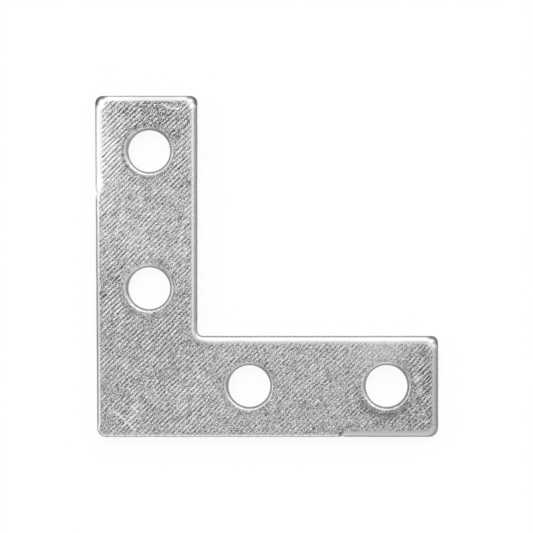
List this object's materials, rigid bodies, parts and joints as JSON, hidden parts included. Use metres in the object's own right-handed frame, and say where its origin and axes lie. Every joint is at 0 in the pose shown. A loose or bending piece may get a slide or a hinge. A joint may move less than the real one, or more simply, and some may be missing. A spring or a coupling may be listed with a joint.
{
  "type": "flat angle bracket",
  "caption": "Flat L-shaped corner plate of zinc-plated sheet steel, with round holes along both legs, for screwing two members together at a right angle.",
  "frame": {"origin": "where the two rows of holes cross, in the heel, on the flat back face", "axes": "+X along the base leg, +Y up the upright leg, +Z out of the front face, the one with rolled edges"},
  "size_m": [0.05, 0.0497, 0.002],
  "materials": {
    "zinc_plated_steel": "bright zinc plate over rolled strip, satin, with fine slanting roll lines"
  },
  "bodies": {
    "root": {"angle_bracket": "zinc_plated_steel"}
  },
  "joints": []
}
